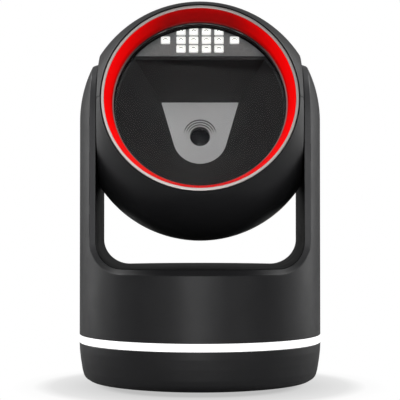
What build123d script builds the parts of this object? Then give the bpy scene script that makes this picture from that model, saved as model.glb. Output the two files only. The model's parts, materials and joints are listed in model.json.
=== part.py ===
from build123d import *
import os
from math import acos, asin, atan2, cos, hypot, radians, sin, sqrt

# Desktop presentation scanner: a ball head, flattened on both sides, tilts between the two arms of a
# round yoke.  Millimetres, +Z up, the front faces -Y, the tilt axis runs along X, and Z = 0 is the
# surface that the rubber foot stands on.

# Driving dimensions of the stand
BODY_R = 46.0            # the upright cylinder and the domes of the arms
PIVOT_Z = 99.5           # height of the tilt axis, and centre of the domes and of the ball
SHELL_WALL = 2.4
CAVITY_R = BODY_R - SHELL_WALL
FOOT_LIFT = 0.5          # the foot cup hangs this far above the table
FOOT_TOP = 15.3          # top of the foot cup, underside of the light ring
RING_TOP = 18.2          # top of the light ring, underside of the yoke shell
GAP_HALF = 38.4          # inner face of each arm
GAP_FLOOR = 44.0         # floor of the U-shaped gap
GAP_CORNER = 10.0        # inner radius of the U
LINER_WALL = 1.8
RIM_OUT = 2.0            # width of the bevel round the U, measured across the floor's edge
RIM_OUT_ARM = 2.44       # the same on the arms
RIM_X, RIM_Y = 44.7, 43.0    # half-axes of the oval that the liner's edges follow
ARM_HALF = RIM_Y * sqrt(1 - (GAP_HALF / RIM_X) ** 2)   # half-width of an arm's inner face
ARM_ROOM = 15.0          # half-width of the hollow inside an arm

# Driving dimensions of the head, in the mouth's frame: x across, v up, d out of the mouth
HEAD_R = 45.8
HEAD_HALF = 38.0         # half-width over the two flat sides
HEAD_WALL = 2.2
MOUTH_UP = 15.7          # the mouth looks up by this angle at rest
MOUTH_R = 36.5           # opening in the ball
TRIM_R = (35.5, 36.3)    # inner and outer radius of the trim ring
FACE_D = 27.4            # front of the trim ring
GLOW_R = 35.45           # outer radius of the red ring
GLOW_BACK = 19.4
PANE_R = 33.0
PANE_D = (18.2, 19.4)
BEZEL_R = 31.9           # black wall between the window and the lamps
GASKET = 0.3
BOARD = 1.2              # thickness of the circuit boards
LAMP_D = 15.0            # front face of the lamp board
LAMP_V = 20.9            # lower edge of the lamp board
LAMP_R = 33.8
PLATE_D = -15.5          # front face of the camera plate
PLATE_TOP = (15.4, 13.8)     # its upper corner: x, v
PLATE_R, PLATE_DROP = 10.7, -1.2     # its round lower end: radius and centre height
SHROUD_WALL = 1.4
LENS_R = 3.84

# Driving dimensions of the tilt joint, along X from the middle of the stand
STUB_R, STUB_BORE = 5.0, 3.4
RUN_CLEAR = 0.05         # radial clearance of the stub in its bush
BUSH_R = 7.0
STUB_END = 29.0
STOP_R, STOP_PIN = 13.0, 1.2
TILT = 30.0              # travel each way from the rest position
STOP_ANGLE = 90.0        # the stop pins stand straight above the tilt axis

CABLE_R = 1.0
MEET_X = 36.0            # the two cables meet here, on the tilt axis

# Places inside the stand
FOOT_PAD = (27.0, 33.0)      # inner and outer radius of the rubber ring
FOOT_PAD_TOP = 1.7
BOSSES = [(37.8, angle) for angle in (30, 150, 270)]     # radius and angle of the foot's screws
BALLAST_R, BALLAST_TOP = 24.5, 12.0
BALLAST_ANGLES = (90, 210, 330)
RING_BOARD_Z = 13.6
RING_LED_ANGLES = [15 + 30 * step for step in range(12)]
BOARD_Z = 21.5               # underside of the main board
BOARD_HOLES = [(x, y) for x in (-22, 22) for y in (-23, 23)]
LINER_BOSSES = [(x, y) for x in (-20, 20) for y in (-29, 29)]
LINER_TAB_Z = 33.0
SOCKET = (-8.2, 8.2), (23.1, 36.2)       # opening for the interface socket: x and z

# Places inside the head
PARTING = 0.08               # half the fine line between the two halves of the ball
POST_X, POST_D, POST_HEAD = 22.0, -22.0, 22.0    # posts of the shell screws, and their heads' seats
EAR_BACK = 12.4
MODULE_EARS = [(x, v) for x in (-26, 26) for v in (-26, 26)]
SHROUD_R = 31.2
PLATE_BACK = -18.9
LENS_TUBE_R, LENS_CURVE = 4.6, 7.5
CAMERA_X, CAMERA_D = 10.5, -26.0
DECODER_D = -33.0

MOUTH = Plane(origin=(0, 0, PIVOT_Z), x_dir=(1, 0, 0),
              z_dir=(0, -cos(radians(MOUTH_UP)), sin(radians(MOUTH_UP))))

os.makedirs("parts", exist_ok=True)


def solids_of(shape):
    """The separate solids of a shape, or of a list of shapes."""
    if isinstance(shape, (list, tuple)):
        return [solid for item in shape for solid in solids_of(item)]
    return list(shape.solids())


def save(name, shape, place=None):
    """Writes one node: a single solid, or a group of separate solids."""
    solids = [place.location * solid if place else solid for solid in solids_of(shape)]
    export_step(solids[0] if len(solids) == 1 else Compound(solids), f"parts/{name}.step")


def rod(radius, low, high, x=0.0, y=0.0):
    """A cylinder along Z between two heights."""
    return Pos(x, y, low) * Cylinder(radius, high - low, align=(Align.CENTER, Align.CENTER, Align.MIN))


def tube(inner, outer, low, high):
    return rod(outer, low, high) - rod(inner, low - 1, high + 1)


def block(x, y, z):
    """A box between two limits on each axis."""
    size = (x[1] - x[0], y[1] - y[0], z[1] - z[0])
    return Pos(x[0], y[0], z[0]) * Box(*size, align=(Align.MIN, Align.MIN, Align.MIN))


def turned(points):
    """A ring or disc turned about Z from the corners (radius, height) of its section."""
    return revolve(make_face(Plane.XZ * Polyline(*points, close=True)), Axis.Z)


def polar(radius, angle):
    return radius * cos(radians(angle)), radius * sin(radians(angle))


def around_x(shape):
    """Turns a shape built along +Z so that it lies along +X on the tilt axis."""
    return Pos(0, 0, PIVOT_Z) * Rot(0, 90, 0) * shape


def both_sides(shape):
    return [shape, mirror(shape, Plane.YZ)]


def pan_screw(head_r, head_h, shank_r, length):
    """A pan-head screw with its seat at Z = 0, its shank along -Z and a cross recess in its head."""
    head = rod(head_r, 0, head_h)
    head = fillet(head.edges().group_by(Axis.Z)[-1], head_h * 0.45)
    slot = head_r * 0.6, head_r * 0.13
    cross = [block((-a, a), (-b, b), (head_h * 0.45, head_h + 1)) for a, b in (slot, slot[::-1])]
    return head + rod(shank_r, -length, 0.01) - cross[0] - cross[1]


# ---- Foot ---------------------------------------------------------------------------------------

def foot_profile(inset, low):
    """Half-section of the foot: a flat base, a tight bend and a wall that curves up to vertical."""
    wall = TangentArc((BODY_R - inset, FOOT_TOP), (BODY_R - 1.15 - inset, 5.0), tangent=(0, -1))
    bend = TangentArc(wall @ 1, (39.4 - inset * 0.6, low), tangent=wall % 1)
    rest = Polyline(bend @ 1, (0, low), (0, FOOT_TOP), wall @ 0)
    return revolve(make_face(Plane.XZ * Curve([wall, bend, rest])), Axis.Z)


def foot_cup():
    floor = FOOT_LIFT + 2.2
    cup = foot_profile(0, FOOT_LIFT) - foot_profile(SHELL_WALL, floor)
    for x, y in (polar(*boss) for boss in BOSSES):
        cup += rod(3.6, floor - 0.1, FOOT_TOP + 2.6, x, y)
        cup -= rod(1.6, 0, FOOT_TOP + 3, x, y)
        cup -= rod(3.0, 0, FOOT_LIFT + 3.2, x, y)
    for x, y in BOARD_HOLES:
        cup += rod(2.8, floor - 0.1, BOARD_Z, x, y)
        cup -= rod(1.0, BOARD_Z - 8, BOARD_Z + 1, x, y)
    for x, y in (polar(18, angle) for angle in BALLAST_ANGLES):
        cup -= rod(1.2, floor - 1.4, floor + 1, x, y)
    return cup - tube(FOOT_PAD[0], FOOT_PAD[1], 0, FOOT_PAD_TOP)


def ballast_weight():
    weight = rod(BALLAST_R, FOOT_LIFT + 2.2, BALLAST_TOP)
    weight = chamfer(weight.edges().group_by(Axis.Z)[-1], 1.0)
    for x, y in (polar(18, angle) for angle in BALLAST_ANGLES):
        weight -= rod(1.7, 0, BALLAST_TOP + 1, x, y) + rod(3.2, BALLAST_TOP - 2, BALLAST_TOP + 1, x, y)
    return weight


def ring_board():
    board = tube(30.5, 42.2, RING_BOARD_Z, RING_BOARD_Z + BOARD)
    for x, y in (polar(*boss) for boss in BOSSES):
        board -= rod(4.0, RING_BOARD_Z - 1, RING_BOARD_Z + 3, x, y)
    for x, y in BOARD_HOLES:
        board -= rod(3.2, RING_BOARD_Z - 1, RING_BOARD_Z + 3, x, y)
    return board


def ring_leds():
    led = block((39.6, 41.6), (-1.6, 1.6), (RING_BOARD_Z + BOARD, RING_BOARD_Z + BOARD + 1.4))
    return [Rot(0, 0, angle) * led for angle in RING_LED_ANGLES]


def ring_diffuser():
    """White ring, flush outside, with a step inside that takes the light from the board."""
    ring = tube(42.5, BODY_R, FOOT_TOP, RING_TOP)
    return ring - tube(0.1, 43.4, RING_TOP - 0.8, RING_TOP + 1)


# ---- Yoke ---------------------------------------------------------------------------------------

def upright(radius, low):
    """The cylinder with its domed top, down to the given height."""
    return rod(radius, low, PIVOT_Z) + Pos(0, 0, PIVOT_Z) * Sphere(radius)


def gap(grow, depth=60.0):
    """The U-shaped gap, grown outwards by a wall, running right through along Y."""
    half, floor, top = GAP_HALF + grow, GAP_FLOOR - grow, PIVOT_Z + BODY_R + 5
    outline = Pos(0, (floor + top) / 2) * Rectangle(2 * half, top - floor)
    outline = fillet(outline.vertices().group_by(Axis.Y)[0], GAP_CORNER + grow)
    return extrude(Plane.XZ * outline, depth, both=True)


def u_station(s):
    """Point of the U at the distance s from the middle of its floor, and its outward direction."""
    flat, bend = GAP_HALF - GAP_CORNER, radians(90) * GAP_CORNER
    if s <= flat:
        return s, GAP_FLOOR, 0.0, -1.0
    if s <= flat + bend:
        turn = (s - flat) / GAP_CORNER
        return (flat + GAP_CORNER * sin(turn), GAP_FLOOR + GAP_CORNER * (1 - cos(turn)),
                sin(turn), -cos(turn))
    return GAP_HALF, GAP_FLOOR + GAP_CORNER + s - flat - bend, 1.0, 0.0


def bevel_section(s, side):
    """Triangle that cuts the bevel at one place along the U: inner edge, outer edge, free corner."""
    x, z, nx, nz = u_station(abs(s))
    width = RIM_OUT + (RIM_OUT_ARM - RIM_OUT) * nx
    ax, az = x + nx * width, z + nz * width
    inner_y = RIM_Y * sqrt(1 - (x / RIM_X) ** 2)
    outer_y = sqrt(BODY_R ** 2 - ax ** 2)
    reach = sqrt(BODY_R ** 2 - x ** 2) + 4.0
    lean = (outer_y - inner_y) / width
    over = 0.5 * (1 + nx)
    points = [(x - nx * 0.4, inner_y - 0.4 * lean, z - nz * 0.4),
              (ax + nx * over, outer_y + over * lean, az + nz * over),
              (x - nx * 0.4, reach, z - nz * 0.4)]
    sign = 1 if s >= 0 else -1
    return Face(Wire(Polyline(*[(sign * px, side * py, pz) for px, py, pz in points], close=True).edges()))


def bevel_stations():
    """Distances along the U where the bevel's section is drawn, from one arm's top to the other's."""
    flat, bend = GAP_HALF - GAP_CORNER, radians(90) * GAP_CORNER
    arm = PIVOT_Z - GAP_FLOOR - GAP_CORNER
    half = [flat * k / 6 for k in range(6)] + [flat + bend * k / 9 for k in range(9)]
    half += [flat + bend + arm * k / 3 for k in range(4)]
    return [-s for s in half[:0:-1]] + half


def bevel_tool(side):
    """Cuts the bevel along the whole U, on the front (side -1) or on the rear (side 1)."""
    return loft([bevel_section(s, side) for s in bevel_stations()], ruled=True)


def dome_bevel():
    """The same bevel carried over the top of an arm, as a ring about the tilt axis."""
    outer = sqrt(BODY_R ** 2 - (GAP_HALF + RIM_OUT_ARM) ** 2)
    lean = (outer - ARM_HALF) / RIM_OUT_ARM
    points = [(ARM_HALF - 0.4 * lean, GAP_HALF - 0.4), (outer + lean, GAP_HALF + RIM_OUT_ARM + 1),
              (BODY_R + 3, GAP_HALF + RIM_OUT_ARM + 1), (BODY_R + 3, GAP_HALF - 0.4)]
    ring = around_x(turned(points))
    return ring & block((0, 60), (-60, 60), (PIVOT_Z, PIVOT_Z + 60))


def liner_edge():
    """The space that the liner's outline fills: an oval column, carried round the arms' tops."""
    column = extrude(Pos(0, 0, RING_TOP) * Ellipse(RIM_X, RIM_Y), PIVOT_Z - RING_TOP)
    half = Ellipse(RIM_X, RIM_Y) & Rectangle(2 * RIM_X, RIM_Y, align=(Align.CENTER, Align.MIN))
    cap = Pos(0, 0, PIVOT_Z) * revolve(half, Axis.X, 360)
    return column + (cap & block((-60, 60), (-60, 60), (PIVOT_Z - 0.01, 200)))


def stop_slot():
    """Curved slot in an arm's inner wall for the stop pin, the pin's travel long."""
    width = STOP_PIN + 0.3
    arc = CenterArc((0, 0), STOP_R, STOP_ANGLE - TILT, 2 * TILT)
    outline = trace(arc, line_width=2 * width)
    ends = [Pos(*polar(STOP_R, STOP_ANGLE + turn)) * Circle(width) for turn in (-TILT, TILT)]
    slot = extrude(Plane.YZ * (outline + ends[0] + ends[1]), 3.0)
    return Pos(GAP_HALF - 0.5, 0, PIVOT_Z) * slot


def yoke_liner():
    liner = (gap(LINER_WALL) - gap(0)) & liner_edge()
    for cut in both_sides(around_x(rod(STUB_R, 30, 50))) + both_sides(stop_slot()):
        liner -= cut
    for x, y in LINER_BOSSES:
        liner += rod(3.0, LINER_TAB_Z, GAP_FLOOR - LINER_WALL + 0.1, x, y)
        liner -= rod(1.0, LINER_TAB_Z - 1, GAP_FLOOR - LINER_WALL - 0.5, x, y)
    for cut in both_sides(around_x(stub_screw_places(rod(0.67, GAP_HALF + 0.6, 50)))):
        liner -= cut
    return liner


def yoke_shell():
    shell = upright(BODY_R, RING_TOP) - block((-60, 60), (-60, 60), (-60, RING_TOP))
    shell -= gap(0)
    shell -= rod(CAVITY_R, 0, 40.0)
    shell -= extrude(Pos(0, 0, 39) * Ellipse(RIM_X - 3, RIM_Y - 3), GAP_FLOOR - 39)
    hollow = upright(CAVITY_R, 39) & block((-60, 60), (-ARM_ROOM, ARM_ROOM), (39, PIVOT_Z))
    hollow += (Pos(0, 0, PIVOT_Z) * Sphere(CAVITY_R)) & around_x(rod(ARM_ROOM, -60, 60))
    shell -= hollow
    shell -= gap(LINER_WALL) & liner_edge()
    for side in (-1, 1):
        shell -= bevel_tool(side)
    for cut in both_sides(dome_bevel()):
        shell -= cut
    inside = rod(CAVITY_R + 0.5, RING_TOP, 40)
    for x, y in LINER_BOSSES:
        lug = block((x - 4, x + 4), sorted((y * 0.86, 2 * y)), (LINER_TAB_Z - 2.2, LINER_TAB_Z))
        shell += (lug & inside) - rod(1.3, 0, 60, x, y)
    for radius, angle in BOSSES:
        x, y = polar(radius, angle)
        web = Rot(0, 0, angle) * block((radius, BODY_R), (-1, 1), (RING_TOP, 38))
        shell += (rod(3.6, FOOT_TOP + 2.6, 40.5, x, y) + (web & inside)) - rod(1.1, 0, 36, x, y)
    return shell - block(SOCKET[0], (30, 60), SOCKET[1])


# ---- Electronics in the stand -------------------------------------------------------------------

def main_board():
    board = block((-26, 26), (-27, 29.5), (BOARD_Z, BOARD_Z + 1.6))
    board = fillet(board.edges().filter_by(Axis.Z), 2.0)
    board += block((-10, 10), (29, 40), (BOARD_Z, BOARD_Z + 1.6))
    for x, y in BOARD_HOLES:
        board -= rod(1.3, 0, 60, x, y)
    return board


def main_board_chips():
    top = BOARD_Z + 1.6
    return [block((-7, 7), (-9, 5), (top, top + 1.4)), block((10, 19), (-7, 1), (top, top + 1.1)),
            block((-19, -11), (8, 16), (top, top + 1.1)), rod(3.2, top, top + 3.0, 14, 10),
            block((-24, -17), (-3, 3), (top, top + 4.0))]


def buzzer():
    top = BOARD_Z + 1.6
    return rod(6.0, top, top + 5.5, 8, -19) - rod(1.0, top + 4.5, top + 6, 8, -19)


def interface_socket():
    """Modular jack with a stepped mouth for the plug and its latch."""
    body = block((-8, 8), (25, 44.8), (BOARD_Z + 1.6, 36.0))
    body -= block((-6.0, 6.0), (29, 50), (24.8, 31.6))
    body -= block((-3.2, 3.2), (29, 50), (31.5, 34.2))
    return body


def socket_contacts():
    """Ten spring wires on the floor of the plug's space."""
    places = [-4.6 + 9.2 * step / 9 for step in range(10)]
    return [block((x - 0.18, x + 0.18), (29.0, 38.0), (24.9, 25.3)) for x in places]


# ---- Tilt joint ---------------------------------------------------------------------------------

def stub_screw_places(shape):
    places = [Rot(0, 0, angle) * Pos(7.2, 0, 0) * shape for angle in (60, 180, 300)]
    return places[0] + places[1] + places[2]


def pivot_stub():
    """Hollow stub: flange inside the arm, bearing length, and a groove for the retaining ring."""
    flange = GAP_HALF + LINER_WALL
    stub = rod(STUB_R, STUB_END, flange + 0.5) + rod(9.0, flange, flange + 1.0)
    stub -= rod(STUB_BORE, 0, 60) + tube(4.3, 6.0, 30.8, 31.6)
    return around_x(stub - stub_screw_places(rod(0.85, 30, 60)))


def pivot_bush():
    inner = STUB_R + RUN_CLEAR
    return around_x(tube(inner, BUSH_R, 33.8, HEAD_HALF) + tube(inner, 8.2, 32.8, 33.8))


def friction_washer():
    return around_x(tube(STUB_R + RUN_CLEAR, 7.8, 31.65, 32.75))


def retaining_ring():
    ring = tube(4.35, 7.2, 30.85, 31.55) - block((0, 10), (-2.2, 2.2), (30, 33))
    return around_x(ring)


def stub_screws():
    screw = Pos(0, 0, GAP_HALF + LINER_WALL + 1.0) * pan_screw(1.3, 0.8, 0.65, 2.2)
    return around_x(stub_screw_places(screw))


def stop_pin():
    pin = rod(STOP_PIN, HEAD_HALF - 3.0, GAP_HALF + 1.4)
    return Pos(0, 0, PIVOT_Z) * Rot(0, 90, 0) * Pos(-STOP_R, 0, 0) * pin


def cable(points, bend):
    """A round cable along straight runs joined by tangent arcs."""
    path = FilletPolyline(*points, radius=bend)
    return sweep(Plane(origin=path @ 0, z_dir=path % 0) * Circle(CABLE_R), path=path)


def arm_harness():
    """From the main board up the left arm and into the hollow stub, where it meets the head's cable."""
    x = -(CAVITY_R - CABLE_R - 0.15)
    top = BOARD_Z + 1.6 + 4.0
    return cable([(-20.5, 0, top), (-20.5, 0, 35), (x, 0, 35), (x, 0, PIVOT_Z), (-MEET_X, 0, PIVOT_Z)], 3.0)


def head_harness():
    """From the hollow stub, round the shroud, to the rear of the decoder board, in the mouth's frame."""
    points = [(-MEET_X, 0, 0), (-27, 0, 0), (-27, 0, -24), (-19, 0, -37), (-14.5, 0, -37)]
    return cable(points, 2.4)


# ---- Head ---------------------------------------------------------------------------------------

def ball(inset):
    """The ball with its two flat sides, shrunk by a wall."""
    half = HEAD_HALF - inset
    return Sphere(HEAD_R - inset) & Box(2 * half, 200, 200)


def along_v(radius, low, high, x, d):
    """A cylinder along v between two heights."""
    return Rot(90, 0, 0) * rod(radius, -high, -low, x, d)


def head_shell(upper):
    """Upper or lower half of the ball, parted on the plane of the tilt axis and the mouth's axis."""
    sign = 1 if upper else -1
    outer = ball(0)
    shell = fillet(outer.edges().filter_by(GeomType.CIRCLE), 0.8) - ball(HEAD_WALL)
    for side in (-90, 90):
        shell += Rot(0, side, 0) * rod(BUSH_R + 2.0, 34.0, HEAD_HALF - 0.5)
        shell -= Rot(0, side, 0) * rod(BUSH_R, 30, 40)
    for x, v in MODULE_EARS:
        web = block(sorted((x, 1.5 * x)), (v - 1, v + 1), (3.0, EAR_BACK)) & ball(HEAD_WALL * 0.5)
        shell += rod(2.8, 1.0, EAR_BACK, x, v) + web
        shell -= rod(1.0, 4.0, 20.0, x, v)
    for x in (-POST_X, POST_X):
        shell += along_v(3.2, -60, 60, x, POST_D) & ball(HEAD_WALL * 0.5)
        shell -= along_v(1.0, -1, 14, x, POST_D) + along_v(1.45, -60, 0, x, POST_D)
        shell -= along_v(3.0, -60, -POST_HEAD, x, POST_D)
    shell -= rod(MOUTH_R, LAMP_D - BOARD, 60)
    for pin in both_sides(stop_pin()):
        shell -= MOUTH.location.inverse() * pin
    return shell & block((-60, 60), sorted((sign * PARTING, sign * 60)), (-60, 60))


def head_shell_screws():
    screw = Rot(90, 0, 0) * pan_screw(2.6, 1.8, 1.0, 28)
    return [Pos(x, -POST_HEAD, POST_D) * screw for x in (-POST_X, POST_X)]


def trim_ring():
    ring = tube(*TRIM_R, 17.6, FACE_D)
    return fillet(ring.edges().group_by(Axis.Z)[-1], 0.25)


def glow_ring():
    """Clear red ring whose conical inner wall carries the light round the mouth."""
    return turned([(GLOW_R, GLOW_BACK), (GLOW_R, FACE_D - 0.15), (GLOW_R - 0.15, FACE_D), (34.2, 25.4),
                   (32.3, 20.76), (32.3, GLOW_BACK)])


def glow_board():
    return tube(33.3, 35.4, 17.55, 18.4)


def glow_leds():
    led = block((33.6, 35.0), (-0.8, 0.8), (18.4, 19.1))
    return [Rot(0, 0, 22.5 * step) * led for step in range(16)]


def window_bezel():
    """Carrier ring: a flange on the shroud, and a straight black wall that the pane sits on."""
    seat = PANE_D[0] - GASKET
    return turned([(LAMP_R, LAMP_D), (TRIM_R[1], LAMP_D), (TRIM_R[1], 17.5), (33.2, 17.5), (33.2, seat),
                   (BEZEL_R, seat), (BEZEL_R, LAMP_D + 0.9), (LAMP_R, LAMP_D + 0.9)])


def window_gasket():
    return tube(BEZEL_R + 0.05, PANE_R - 0.05, PANE_D[0] - GASKET, PANE_D[0])


def window_pane():
    pane = rod(PANE_R, *PANE_D)
    return chamfer(pane.edges().group_by(Axis.Z)[-1], 0.25)


def lamp_board():
    return rod(LAMP_R, LAMP_D - BOARD, LAMP_D) & block((-50, 50), (LAMP_V, 50), (0, 50))


def lamp_leds():
    """Fourteen white lamps in three rows."""
    rows = [(23.8, (2.43, 7.2)), (27.5, (2.43, 7.2, 13.1)), (30.9, (2.43, 7.2))]
    leds = []
    for v, places in rows:
        for x in [side * place for place in places for side in (-1, 1)]:
            case = block((x - 1.75, x + 1.75), (v - 1.4, v + 1.4), (LAMP_D, LAMP_D + 0.75))
            leds.append(fillet(case.edges().filter_by(Axis.Z), 0.25))
    return leds


def plate_outline(grow):
    """Flat top, two sides that lean in, and a round lower end tangent to them."""
    x, v, radius = PLATE_TOP[0] + grow, PLATE_TOP[1] + grow, PLATE_R + grow
    reach = hypot(x, v - PLATE_DROP)
    lean = atan2(v - PLATE_DROP, x) - acos(radius / reach)
    tx, tv = radius * cos(lean), PLATE_DROP + radius * sin(lean)
    return Wire([Line((-x, v), (x, v)), Line((x, v), (tx, tv)),
                 ThreePointArc((tx, tv), (0, PLATE_DROP - radius), (-tx, tv)), Line((-tx, tv), (-x, v))])


def shroud_mouth(grow):
    """Outline of the shroud's front: a circle with a flat top."""
    radius, top = SHROUD_R + grow, LAMP_V - 0.1 - SHROUD_WALL + grow
    high = asin(top / radius)
    low = radians(-35)
    near = [(radius * cos(a), radius * sin(a)) for a in (high, (high + low) / 2, low)]
    far = [(-x, v) for x, v in near]
    return Wire([Line(far[0], near[0]), ThreePointArc(near[0], near[1], near[2]),
                 ThreePointArc(near[2], (0, -radius), far[2]), ThreePointArc(far[2], far[1], far[0])])


def funnel(grow):
    """The space that tapers from the shroud's front to the outline of the camera plate."""
    ends = [Pos(0, 0, LAMP_D) * Face(shroud_mouth(grow)), Pos(0, 0, PLATE_D) * Face(plate_outline(grow))]
    return loft(ends, ruled=True)


def optical_shroud():
    """Black funnel between the lamps and the camera, with a flange, a shelf and four ears."""
    back = LAMP_D - BOARD
    shroud = tube(LAMP_R + 0.1, 36.3, back, LAMP_D)
    low = tube(SHROUD_R, LAMP_R + 0.2, back, LAMP_D) & block((-50, 50), (-50, LAMP_V - 0.1), (0, 50))
    shelf = rod(36.3, EAR_BACK, back) & block((-50, 50), (LAMP_V - 1.5, 50), (0, 50))
    shroud += low + shelf
    for x, v in MODULE_EARS:
        shroud += rod(2.8, EAR_BACK, back + 0.1, x, v)
        shroud += block(sorted((x * 0.75, x)), (v - 2, v + 2), (EAR_BACK, back))
    shroud = (shroud + funnel(SHROUD_WALL)) - funnel(0)
    for x, v in MODULE_EARS:
        shroud -= rod(1.3, 0, 30, x, v) + rod(2.3, back, 30, x, v)
    return shroud


def shroud_screws():
    screw = pan_screw(2.1, 1.1, 0.95, 7.5)
    return [Pos(x, v, LAMP_D - BOARD) * screw for x, v in MODULE_EARS]


def camera_plate():
    """Grey plate that closes the funnel; three round steps lead down to the lens, and a web hides its tube."""
    outline = Pos(0, 0, PLATE_BACK) * Face(plate_outline(SHROUD_WALL))
    plate = extrude(outline, PLATE_D - PLATE_BACK, dir=(0, 0, 1))
    for radius, depth in ((6.6, 0.6), (5.8, 1.1), (5.0, 1.6), (LENS_R + 0.15, 10)):
        plate -= rod(radius, PLATE_D - depth, 0)
    plate -= rod(LENS_TUBE_R + 0.05, PLATE_D - 10, PLATE_D - 2.15)
    for x in (-CAMERA_X, CAMERA_X):
        plate += rod(2.2, CAMERA_D, PLATE_BACK + 0.1, x, 0)
        plate -= rod(0.8, CAMERA_D - 1, PLATE_BACK + 0.6, x, 0)
    return plate


def lens_barrel():
    barrel = tube(LENS_R, LENS_TUBE_R, CAMERA_D + 1.6, PLATE_D - 2.2)
    return chamfer(barrel.edges().group_by(Axis.Z)[-1][0], 0.25)


def front_lens():
    """Meniscus cap of the objective, domed towards the front."""
    dome = Pos(0, 0, PLATE_D - 2.4 - LENS_CURVE) * Sphere(LENS_CURVE)
    return dome & rod(LENS_R - 0.02, PLATE_D - 5.0, PLATE_D)


def lens_holder():
    holder = block((-7.8, 7.8), (-7.8, 7.8), (CAMERA_D, PLATE_BACK))
    holder -= rod(LENS_TUBE_R + 0.05, CAMERA_D + 1.5, PLATE_BACK + 1)
    return holder - block((-5, 5), (-5, 5), (CAMERA_D - 1, CAMERA_D + 1.55))


def image_sensor():
    return block((-3.6, 3.6), (-3.0, 3.0), (CAMERA_D, CAMERA_D + 0.9))


def camera_board():
    board = block((-14, 14), (-12, 12), (CAMERA_D - BOARD, CAMERA_D))
    for x in (-CAMERA_X, CAMERA_X):
        board -= rod(1.0, -60, 0, x, 0)
    return board


def camera_screws():
    screw = Rot(180, 0, 0) * pan_screw(1.6, 1.0, 0.75, 6)
    return [Pos(x, 0, CAMERA_D - BOARD) * screw for x in (-CAMERA_X, CAMERA_X)]


def board_spacers():
    return [tube(1.0, 2.2, DECODER_D, CAMERA_D - BOARD).moved(Location((x, v, 0)))
            for x in (-11.5, 11.5) for v in (-9.5, 9.5)]


def decoder_board():
    return block((-18, 18), (-14, 14), (DECODER_D - BOARD, DECODER_D))


def decoder_chips():
    back = DECODER_D - BOARD
    return [block((-6, 6), (-6, 6), (back - 1.3, back)), block((8.5, 15.5), (-5, 3), (back - 1.1, back)),
            block((-14.5, -10.5), (-3, 3), (back - 4.0, back)), block((9, 15), (6, 11), (back - 0.9, back))]


# ---- Fasteners and the list of nodes ------------------------------------------------------------

def foot_screws():
    screw = Rot(180, 0, 0) * pan_screw(2.6, 1.8, 1.0, 24)
    return [Pos(*polar(*boss), FOOT_LIFT + 3.2) * screw for boss in BOSSES]


def ballast_screws():
    screw = pan_screw(2.6, 1.6, 1.1, BALLAST_TOP - 2 - FOOT_LIFT - 1.0)
    return [Pos(*polar(18, angle), BALLAST_TOP - 2) * screw for angle in BALLAST_ANGLES]


def liner_screws():
    screw = Rot(180, 0, 0) * pan_screw(2.2, 1.4, 0.95, 8)
    return [Pos(x, y, LINER_TAB_Z - 2.2) * screw for x, y in LINER_BOSSES]


def board_screws():
    screw = pan_screw(2.2, 1.4, 0.95, 7)
    return [Pos(x, y, BOARD_Z + 1.6) * screw for x, y in BOARD_HOLES]


save("foot_cup", foot_cup())
save("rubber_foot_ring", fillet(tube(*FOOT_PAD, 0, FOOT_PAD_TOP).edges().group_by(Axis.Z)[0], 0.3))
save("foot_screws", foot_screws())
save("ballast_weight", ballast_weight())
save("ballast_screws", ballast_screws())
save("ring_light_board", ring_board())
save("ring_light_leds", ring_leds())
save("ring_light_diffuser", ring_diffuser())
save("yoke_shell", yoke_shell())
save("yoke_liner", yoke_liner())
save("liner_screws", liner_screws())
save("main_board", main_board())
save("main_board_chips", main_board_chips())
save("main_board_screws", board_screws())
save("buzzer", buzzer())
save("interface_socket", interface_socket())
save("socket_contacts", socket_contacts())
save("arm_harness", arm_harness())

for side, (stub, bush) in zip(("right", "left"), zip(both_sides(pivot_stub()), both_sides(pivot_bush()))):
    save(f"{side}_pivot_stub", stub)
    save(f"{side}_pivot_bush", bush)
save("pivot_stub_screws", both_sides(stub_screws()))
save("friction_washers", both_sides(friction_washer()))
save("retaining_rings", both_sides(retaining_ring()))
save("tilt_stop_pins", both_sides(stop_pin()))

HEAD = {
    "head_upper_shell": head_shell(True), "head_lower_shell": head_shell(False),
    "head_shell_screws": head_shell_screws(), "head_harness": head_harness(),
    "mouth_trim_ring": trim_ring(), "red_light_ring": glow_ring(), "red_light_board": glow_board(),
    "red_light_leds": glow_leds(), "window_bezel": window_bezel(), "window_gasket": window_gasket(),
    "window_pane": window_pane(), "lamp_board": lamp_board(), "lamp_leds": lamp_leds(),
    "optical_shroud": optical_shroud(), "shroud_screws": shroud_screws(),
    "camera_plate": camera_plate(), "lens_holder": lens_holder(), "lens_barrel": lens_barrel(),
    "front_lens": front_lens(), "image_sensor": image_sensor(), "camera_board": camera_board(),
    "camera_screws": camera_screws(), "board_spacers": board_spacers(),
    "decoder_board": decoder_board(), "decoder_chips": decoder_chips(),
}
for name, shape in HEAD.items():
    save(name, shape, MOUTH)
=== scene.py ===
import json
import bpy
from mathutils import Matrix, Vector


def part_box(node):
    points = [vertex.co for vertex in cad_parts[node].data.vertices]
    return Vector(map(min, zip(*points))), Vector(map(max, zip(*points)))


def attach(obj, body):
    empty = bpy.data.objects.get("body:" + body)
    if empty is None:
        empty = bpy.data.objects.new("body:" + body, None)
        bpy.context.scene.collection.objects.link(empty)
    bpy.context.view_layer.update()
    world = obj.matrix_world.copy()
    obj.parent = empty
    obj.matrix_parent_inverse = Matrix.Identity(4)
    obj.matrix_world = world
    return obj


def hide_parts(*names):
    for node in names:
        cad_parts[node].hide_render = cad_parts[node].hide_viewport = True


bl_info = {
    "name": "Tilting-head presentation scanner",
    "version": (1, 0, 0),
    "blender": (4, 5, 0),
    "location": "View3D > Sidebar > Scanner",
    "description": "Builds the visible shells, lights, optics and finishes of a desktop presentation scanner",
    "category": "Object",
}

from math import asin, cos, pi, radians, sin, sqrt, tan

import bmesh
import bpy
from bpy.props import FloatProperty, FloatVectorProperty, PointerProperty
from mathutils import Matrix, Vector

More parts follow.
